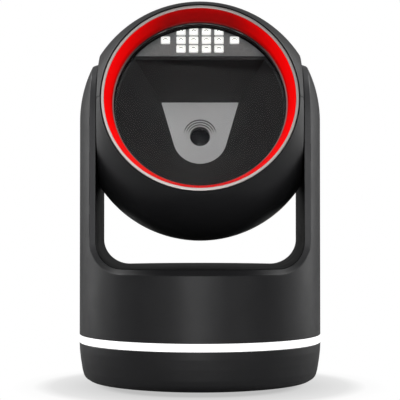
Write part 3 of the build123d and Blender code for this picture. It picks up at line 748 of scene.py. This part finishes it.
class SCANNER_OT_mouth(bpy.types.Operator):
    """Builds the trim ring, the red light guide and the window, and finishes the bezel"""
    bl_idname = "scanner.mouth"
    bl_label = "Mouth"

    def execute(self, context):
        s, c = sizes(), colours()
        place = mouth_place()
        face = s.face_depth / MM
        # satin-anodised aluminium: a fine blasted grain spreads one soft highlight round the ring
        metal, tree, shader = finish_of("Satin_aluminium", {
            "Metallic": 1.0, "Roughness": 0.32, "Base Color": linear("d8cfcb")})
        feed(tree, shader, {"Normal": pitted(tree, 0.25, 0.003, detail=2.0)})
        lip, step = TRIM_R - TRIM_FACE, 0.5
        corners = [(TRIM_R, TRIM_BACK, 0.1), (TRIM_R, face, 0.25), (lip, face, 0.15), (lip, face - step, 0.1),
                   (GLOW_R + 0.05, face - step, 0), (GLOW_R + 0.05, TRIM_BACK, 0.1)]
        turned_piece("trim_ring", "head", corners, metal, "mouth_trim_ring", place=place, segments=256,
                     slot="trim_metal")
        inside = RIM_R - RIM_WIDTH
        corners = [(GLOW_R - 0.03, RED_BACK, 0.1), (GLOW_R - 0.03, face - 0.55, 0.05),
                   (lip - 0.05, face - 0.55, 0), (lip - 0.05, face - 0.15, 0.2), *CONE,
                   (RIM_R, RIM_FRONT, 0), (inside, RIM_FRONT, 0.05), (inside, RED_BACK, 0.05)]
        ring = turned_piece("red_ring", "head", corners, red_guide("Red_polycarbonate", tuple(c.red)),
                            "red_light_ring", place=place, segments=256, slot="red_light")
        ring.visible_diffuse = False
        ring.data.materials.append(clear_rim("Clear_polycarbonate_rim"))
        back = place.inverted()
        for polygon in ring.data.polygons:
            if (back @ polygon.center).to_2d().length < (RIM_R - 0.05) * MM:
                polygon.material_index = 1
        black = moulded_abs("Matt_black_bezel", linear("060607"), 0.85, grain_mm=0.3, gloss=0.08)
        coat("window_bezel", black)
        glass = clear_pane("Anti_reflective_glass")
        corners = [(0, PANE_BACK, 0), (0, PANE_FRONT, 0), (PANE_R, PANE_FRONT, 0.25),
                   (PANE_R, PANE_BACK, 0.2)]
        turned_piece("window", "head", corners, glass, "window_pane", place=place, segments=192,
                     slot="window_glass")
        return {"FINISHED"}


# ---- Lamps --------------------------------------------------------------------------------------

LAMP_D = 15.0                  # place of the lamp board's face, in millimetres out of the mouth
# for each row its height above the tilt axis, and how far its lamps stand from the middle
LAMP_ROWS = ((23.6, (2.43, 7.2)), (27.2, (2.43, 7.2, 13.1)), (30.8, (2.43, 7.2)))
LAMP_SIZE = (3.5, 2.8, 0.75)
CASE_GLOW, FILL_GLOW = 0.45, 0.75        # glow of a lamp's case and of its resin
TRACK_PITCH = 2.4              # spacing of the circuit boards' tracks, coarser than real so that it shows


def lamp_case(bm, x, v, place):
    """One surface-mount lamp: a case with a cut corner, a sloped cup and its clear fill."""
    w, h, t = (size * MM / 2 for size in LAMP_SIZE)
    t *= 2
    rings = []
    for grow, level, bevel in ((0, 0, 0.22), (0, t - 0.05 * MM, 0.22), (-0.05 * MM, t, 0.2),
                               (-0.32 * MM, t, 0.5), (-0.52 * MM, t - 0.32 * MM, 0.45)):
        a, b, cut = w + grow, h + grow, bevel * MM
        outline = [(a, b - cut), (a - cut, b), (cut - a, b), (-a, b - cut),
                   (-a, cut - b), (cut - a, -b), (a - cut, -b), (a, cut - b)]
        rings.append([bm.verts.new(place @ Vector((x * MM + p, v * MM + q, LAMP_D * MM + level)))
                      for p, q in outline])
    for low, high in zip(rings, rings[1:]):
        band(bm, low, high)
    bm.faces.new(rings[0][::-1])
    cup = bm.faces.new(rings[-1])
    cup.material_index = 1
    inner, outer, level = 0.66 * MM, 0.98 * MM, LAMP_D * MM + t + 0.02 * MM
    turns = [radians(22 + 136 * k / 8) for k in range(9)]
    arcs = [[bm.verts.new(place @ Vector((x * MM + r * cos(a), (v - 0.30) * MM + r * sin(a), level)))
             for a in turns] for r in (inner, outer)]
    for k in range(8):
        face = bm.faces.new([arcs[0][k], arcs[1][k], arcs[1][k + 1], arcs[0][k + 1]])
        face.material_index = 2


def circuit_board(name, mask, track):
    """Glass-fibre laminate under solder mask: fine tracks and pads show as a slightly lighter relief."""
    material, tree, shader = finish_of(name, {"IOR": 1.55, "Roughness": 0.38})
    place = add(tree, "ShaderNodeTexCoord").outputs["Object"]
    cells = add(tree, "ShaderNodeTexVoronoi", {"Vector": place, "Scale": 1 / (TRACK_PITCH * MM)},
                distance="CHEBYCHEV", feature="DISTANCE_TO_EDGE").outputs["Distance"]
    lines = add(tree, "ShaderNodeMapRange", {
        "Value": cells, "From Min": 0.02, "From Max": 0.06, "To Min": 1.0, "To Max": 0.0}).outputs["Result"]
    bare = mottled(tree, 0.7, mask, shade(mask, 0.8), 0.4, spread=(0.4, 0.7))
    relief = add(tree, "ShaderNodeBump", {"Height": lines, "Distance": 0.03 * MM, "Strength": 0.6})
    laid = add(tree, "ShaderNodeMix", {0: lines, 6: bare, 7: track}, data_type="RGBA")
    feed(tree, shader, {"Base Color": laid.outputs[2], "Normal": relief.outputs["Normal"]})
    return material


class SCANNER_OT_lamps(bpy.types.Operator):
    """Builds the fourteen white lamps and finishes the lamp board"""
    bl_idname = "scanner.lamps"
    bl_label = "Lamps"

    def execute(self, context):
        place = mouth_place()
        bm = bmesh.new()
        for v, places in LAMP_ROWS:
            for x in [side * p for p in places for side in (-1, 1)]:
                lamp_case(bm, x, v, place)
        white = linear("ffffff")
        # filled white nylon: the case passes some of the lamp's light
        case = hard_finish("White_lamp_case", 0.8, "f4f3ee", "e6e5df", {
            "IOR": 1.5, "Roughness": 0.4, "Emission Color": white, "Emission Strength": CASE_GLOW
        }, detail=2.0)
        # cast silicone resin: the glossy, brightest part of a lamp
        fill = hard_finish("Clear_lamp_resin", 0.6, "f6f5ea", "ecebdc", {
            "IOR": 1.53, "Roughness": 0.12, "Emission Color": white, "Emission Strength": FILL_GLOW
        }, detail=2.0)
        # the bond wire's arc, drawn wider than real so that it shows: a small dark mark on each lamp
        mark = hard_finish("Lamp_bond_wire", 0.3, "3a3a3c", "4c4c4e", {"Roughness": 0.6}, spread=WHOLE)
        lamps = mesh_object("white_lamps", "head", bm, case, "lamp_leds", slot="white_lamp", smooth=False)
        lamps.data.materials.append(fill)
        lamps.data.materials.append(mark)
        coat("lamp_board", circuit_board("Grey_lamp_board", linear("7c7c7c"), linear("818181")))
        return {"FINISHED"}


# ---- Optics -------------------------------------------------------------------------------------

STEP_OUT, STEP_PITCH = 6.6, 0.8          # largest step round the lens and the steps' spacing, in millimetres


def stepped_plate(name, base):
    """Grey polycarbonate, with painted shadow under the upper side of each round step at the lens."""
    material = moulded_abs(name, base, 0.5, wear=0.05)
    tree, shader = material.node_tree, shader_of(material)
    place, _, up, _ = on_mouth(tree)
    flat = add(tree, "ShaderNodeVectorMath", {0: place, 1: (1, 1, 0)}, operation="MULTIPLY")
    from_lens = add(tree, "ShaderNodeVectorMath", {0: flat.outputs["Vector"]}, operation="LENGTH")
    radius = from_lens.outputs["Value"]
    step = radius
    for operation, number in (("SUBTRACT", (STEP_OUT - 3 * STEP_PITCH) * MM), ("DIVIDE", STEP_PITCH * MM),
                              ("FRACT", 0.0)):
        step = add(tree, "ShaderNodeMath", {0: step, 1: number}, operation=operation).outputs["Value"]
    shaded, above = (add(tree, "ShaderNodeMapRange", {
        "Value": value, "From Min": start, "From Max": end, "To Max": high}).outputs["Result"]
        for value, start, end, high in ((step, 0.42, 0.75, 1.0), (up, 0.8 * MM, 3.0 * MM, 0.9)))
    dark = add(tree, "ShaderNodeMath", {0: radius, 1: STEP_OUT * MM}, operation="LESS_THAN").outputs["Value"]
    for part in (shaded, above):
        dark = add(tree, "ShaderNodeMath", {0: dark, 1: part}, operation="MULTIPLY").outputs["Value"]
    tinted = shader.inputs["Base Color"].links[0].from_socket
    # painted shadow: under each step's upper side the colour goes nearly black
    painted_step_shadow = add(tree, "ShaderNodeMix", {0: dark, 6: tinted, 7: shade(base, 0.05)}, data_type="RGBA")
    feed(tree, shader, {"Base Color": painted_step_shadow.outputs[2]})
    return material


class SCANNER_OT_optics(bpy.types.Operator):
    """Builds the objective, and finishes the funnel and the camera plate"""
    bl_idname = "scanner.optics"
    bl_label = "Optics"

    def execute(self, context):
        place = mouth_place()
        coat("optical_shroud", moulded_abs("Matt_black_ABS_funnel", linear("18181a"), 0.7, grain_mm=0.35))
        coat("camera_plate", stepped_plate("Grey_polycarbonate_plate", tuple(colours().plate)))
        black = moulded_abs("Black_anodised_barrel", linear("0b0b0c"), 0.3, grain_mm=0.25)
        corners = [(4.6, -24.4, 0), (4.6, -17.7, 0.2), (4.2, -17.7, 0.1), (3.95, -18.1, 0.1),
                   (3.8, -18.1, 0.1), (3.8, -24.4, 0)]
        turned_piece("objective_barrel", "head", corners, black, "lens_barrel", place=place, segments=96,
                     slot="lens_black")
        # coated optical glass: nearly black, with a trace of violet and one small highlight
        lens = hard_finish("Coated_lens_glass", 3.0, "07070b", "0c0a14", {
            "IOR": 1.7, "Roughness": 0.02, "Specular IOR Level": 0.1}, spread=WHOLE)
        curve, rim, top = 8.5, 3.78, -18.0
        sag = curve - sqrt(curve ** 2 - rim ** 2)
        dome = [(0, top - 3.2, 0), (0, top, 0)]
        dome += [(rim * k / 8, top - curve + sqrt(curve ** 2 - (rim * k / 8) ** 2), 0) for k in range(1, 9)]
        dome += [(rim, top - sag - 1.6, 0)]
        turned_piece("objective_lens", "head", dome, lens, "front_lens", place=place, segments=96,
                     slot="lens_glass")
        return {"FINISHED"}


# ---- Hardware that the frame already shapes -----------------------------------------------------

def worked_metal(name, base, rough, grain_mm=0.3):
    """Turned or plated metal: fine tool marks spread the highlights."""
    material, tree, shader = finish_of(name, {"Metallic": 1.0})
    feed(tree, shader, {
        "Base Color": mottled(tree, 1.5, base, shade(base, 0.82), detail=4.0),
        "Roughness": uneven(tree, grain_mm, rough - 0.06, rough + 0.08, WHOLE),
        "Normal": pitted(tree, grain_mm, 0.006)})
    return material


class SCANNER_OT_hardware(bpy.types.Operator):
    """Finishes the screws, boards, weights, bearings and cables"""
    bl_idname = "scanner.hardware"
    bl_label = "Hardware"

    def execute(self, context):
        zinc = worked_metal("Zinc_plated_steel", linear("b4b6ba"), 0.34)
        steel = worked_metal("Turned_steel", linear("a2a4a8"), 0.28)
        iron = worked_metal("Cast_iron", linear("4a4846"), 0.6, 1.2)
        brass = worked_metal("Gold_plated_brass", linear("d8b45a"), 0.25)
        green = circuit_board("Green_circuit_board", linear("0f4a2a"), linear("2c6e45"))
        resin = moulded_abs("Black_chip_resin", linear("18181a"), 0.55, grain_mm=0.2)
        nylon = moulded_abs("Black_nylon_socket", linear("131315"), 0.48, grain_mm=0.3)
        acetal = moulded_abs("Natural_acetal", linear("e4e2da"), 0.4, wear=0.04)
        jacket = moulded_abs("Soft_PVC_jacket", linear("161618"), 0.5, grain_mm=0.4)
        # small cast and ground pieces: dark glass with a violet cast, clear red resin, yellowish white resin
        glass, red_chip, pale = (
            hard_finish(name, 0.6, first, second, {"IOR": ior, "Roughness": rough}, spread=WHOLE)
            for name, first, second, ior, rough in (
                ("Sensor_cover_glass", "10141c", "2a2140", 1.5, 0.05),
                ("Red_lamp_resin", "e23a30", "c82820", 1.53, 0.2),
                ("White_chip_resin", "f4f3ee", "e0dfd8", 1.53, 0.3)))
        foam = moulded_abs("Foam_gasket", linear("101011"), 0.8, grain_mm=0.25)
        groups = (
            (zinc, ("foot_screws", "ballast_screws", "liner_screws", "main_board_screws", "pivot_stub_screws",
                    "head_shell_screws", "shroud_screws", "camera_screws")),
            (steel, ("left_pivot_stub", "right_pivot_stub", "friction_washers", "retaining_rings",
                     "tilt_stop_pins")),
            (iron, ("ballast_weight",)),
            (brass, ("socket_contacts", "board_spacers")),
            (green, ("main_board", "ring_light_board", "red_light_board", "camera_board", "decoder_board")),
            (resin, ("main_board_chips", "decoder_chips", "buzzer")),
            (nylon, ("interface_socket", "lens_holder")),
            (acetal, ("left_pivot_bush", "right_pivot_bush")),
            (jacket, ("arm_harness", "head_harness")),
            (glass, ("image_sensor",)),
            (red_chip, ("red_light_leds",)),
            (pale, ("ring_light_leds",)),
            (foam, ("window_gasket",)),
        )
        for material, nodes in groups:
            for node in nodes:
                coat(node, material)
        return {"FINISHED"}


# ---- Stage --------------------------------------------------------------------------------------

CAMERA_BACK, CAMERA_HEIGHT = 502.5 * MM, 59.9 * MM
CAMERA_PITCH = radians(1.08)
LENS_MM, SENSOR_MM = 117.6, 36.0
# name, place, aimed at, width, height and power
LIGHTS = (
    ("left_rim_box", (-0.60, 0.30, 0.32), (0, 0, 0.08), 0.35, 0.75, 1.3),
    ("right_rim_box", (0.60, 0.30, 0.32), (0, 0, 0.08), 0.35, 0.75, 1.4),
    ("left_high_box", (-0.55, 0.25, 0.70), (0, 0, 0.05), 0.25, 0.25, 0.5),
    ("right_high_box", (0.55, 0.25, 0.70), (0, 0, 0.05), 0.25, 0.25, 0.5),
    ("left_side_box", (-0.80, -0.02, 0.15), (0, 0, 0.08), 0.25, 0.50, 0.30),
    ("right_side_box", (0.80, -0.02, 0.15), (0, 0, 0.08), 0.25, 0.50, 0.30),
    ("left_front_box", (-0.64, -0.82, 0.16), (0, 0, 0.07), 0.20, 0.50, 0.25),
    ("right_front_box", (0.66, -0.80, 0.16), (0, 0, 0.07), 0.20, 0.50, 0.45),
    ("front_box", (-0.04, -1.1, 0.10), (0, 0, 0.08), 0.42, 0.50, 2.9),
    ("upper_front_box", (-0.12, -0.95, 0.68), (0, 0, 0.10), 0.50, 0.30, 0.80),
)
WORLD_FRONT, WORLD_BACK = 0.045, 0.20
# painted soft shadow on the table, deepest in front of the foot: share of the way outwards, and brightness
SHADE_MIDDLE, SHADE_START, SHADE_END = (0.0, -12 * MM, 0.0), 34 * MM, 70 * MM
FLOOR_SHADE = ((0.0, 0.50), (0.14, 0.66), (0.58, 0.79), (0.78, 0.97), (1.0, 1.0))


def soft_box(name, place, aim, width, height, power):
    light = bpy.data.lights.new(name, "AREA")
    light.shape, light.size, light.size_y, light.energy = "RECTANGLE", width, height, power
    obj = bpy.data.objects.new(name, light)
    bpy.context.scene.collection.objects.link(obj)
    obj.location = place
    obj.rotation_mode = "QUATERNION"
    obj.rotation_quaternion = (Vector(aim) - Vector(place)).to_track_quat("-Z", "Y")


class SCANNER_OT_stage(bpy.types.Operator):
    """Builds the floor, the soft lights and the camera"""
    bl_idname = "scanner.stage"
    bl_label = "Stage"

    def execute(self, context):
        scene = bpy.context.scene
        scene.view_settings.view_transform = "Standard"
        self.floor()
        self.surroundings(scene)
        for box in LIGHTS:
            soft_box(*box)
        camera = bpy.data.cameras.new("camera")
        camera.lens, camera.sensor_width, camera.clip_start = LENS_MM, SENSOR_MM, 0.01
        obj = bpy.data.objects.new("camera", camera)
        scene.collection.objects.link(obj)
        obj.location = (0, -CAMERA_BACK, CAMERA_HEIGHT)
        obj.rotation_euler = (pi / 2 + CAMERA_PITCH, 0, 0)
        scene.camera = obj
        return {"FINISHED"}

    def floor(self):
        bm = bmesh.new()
        bmesh.ops.create_grid(bm, x_segments=2, y_segments=2, size=3.0)
        floor = new_object("floor", bm)
        # painted board: dull and pale, and the camera sees it as an even glow with a painted soft shadow of
        # the foot
        pale, tree, shader = finish_of("Pale_table", {"Roughness": 0.7})
        painted = mottled(tree, 40.0, linear("c4c4c4"), linear("c8c8c8"), spread=WHOLE)
        feed(tree, shader, {"Base Color": painted})
        place = add(tree, "ShaderNodeTexCoord").outputs["Object"]
        away = add(tree, "ShaderNodeVectorMath", {0: place, 1: SHADE_MIDDLE}, operation="DISTANCE")
        share = add(tree, "ShaderNodeMapRange", {
            "Value": away.outputs["Value"], "From Min": SHADE_START, "From Max": SHADE_END})
        fade = add(tree, "ShaderNodeValToRGB", {"Fac": share.outputs["Result"]})
        stops = fade.color_ramp.elements
        for position, level in FLOOR_SHADE[1:-1]:
            stops.new(position)
        for stop, (position, level) in zip(stops, FLOOR_SHADE):
            stop.position, stop.color = position, (level, level, level, 1)
        # what the camera sees: an even glow darkened by the painted shadow of the foot
        seen = add(tree, "ShaderNodeLightPath").outputs["Is Camera Ray"]
        glow = add(tree, "ShaderNodeEmission", {"Color": fade.outputs["Color"]})
        mixed = add(tree, "ShaderNodeMixShader", {
            0: seen, 1: shader.outputs["BSDF"], 2: glow.outputs["Emission"]})
        show_instead(pale, mixed.outputs["Shader"])
        floor.data.materials.append(pale)

    def surroundings(self, scene):
        """A pale studio: bright behind and at the sides, dimmer where the camera stands."""
        world = bpy.data.worlds.new("studio")
        world.use_nodes = True
        tree = world.node_tree
        tree.nodes.clear()
        direction = add(tree, "ShaderNodeTexCoord").outputs["Generated"]
        y = add(tree, "ShaderNodeSeparateXYZ", {"Vector": direction}).outputs["Y"]
        level = add(tree, "ShaderNodeMapRange", {
            "Value": y, "From Min": -0.3, "From Max": 0.4, "To Min": WORLD_FRONT, "To Max": WORLD_BACK}
        ).outputs["Result"]
        seen = add(tree, "ShaderNodeLightPath").outputs["Is Camera Ray"]
        strength = add(tree, "ShaderNodeMath", {0: level, 1: seen}, operation="MAXIMUM").outputs["Value"]
        sky = add(tree, "ShaderNodeBackground", {"Color": linear("ffffff"), "Strength": strength})
        add(tree, "ShaderNodeOutputWorld", {"Surface": sky.outputs["Background"]})
        scene.world = world


# ---- Panel, registration and the run ------------------------------------------------------------

OPERATORS = (SCANNER_OT_stage, SCANNER_OT_foot, SCANNER_OT_light_ring, SCANNER_OT_yoke,
             SCANNER_OT_head_shells, SCANNER_OT_mouth, SCANNER_OT_lamps, SCANNER_OT_optics,
             SCANNER_OT_hardware)


class SCANNER_PT_panel(bpy.types.Panel):
    """Lists the sizes, the colours and the operators"""
    bl_idname = "SCANNER_PT_panel"
    bl_label = "Scanner"
    bl_space_type = "VIEW_3D"
    bl_region_type = "UI"
    bl_category = "Scanner"

    def draw(self, context):
        layout = self.layout
        for group in (context.scene.scanner_sizes, context.scene.scanner_colours):
            box = layout.box()
            for key in group.bl_rna.properties.keys():
                if key not in ("rna_type", "name"):
                    box.prop(group, key)
        for operator in OPERATORS:
            layout.operator(operator.bl_idname)


CLASSES = (ScannerSizes, ScannerColours, *OPERATORS, SCANNER_PT_panel)


def register():
    for item in CLASSES:
        bpy.utils.register_class(item)
    bpy.types.Scene.scanner_sizes = PointerProperty(type=ScannerSizes)
    bpy.types.Scene.scanner_colours = PointerProperty(type=ScannerColours)


def unregister():
    del bpy.types.Scene.scanner_colours
    del bpy.types.Scene.scanner_sizes
    for item in reversed(CLASSES):
        bpy.utils.unregister_class(item)


def main():
    register()
    for operator in OPERATORS:
        group, name = operator.bl_idname.split(".")
        getattr(getattr(bpy.ops, group), name)()
    bpy.context.view_layer.update()


if __name__ == "__main__":
    main()
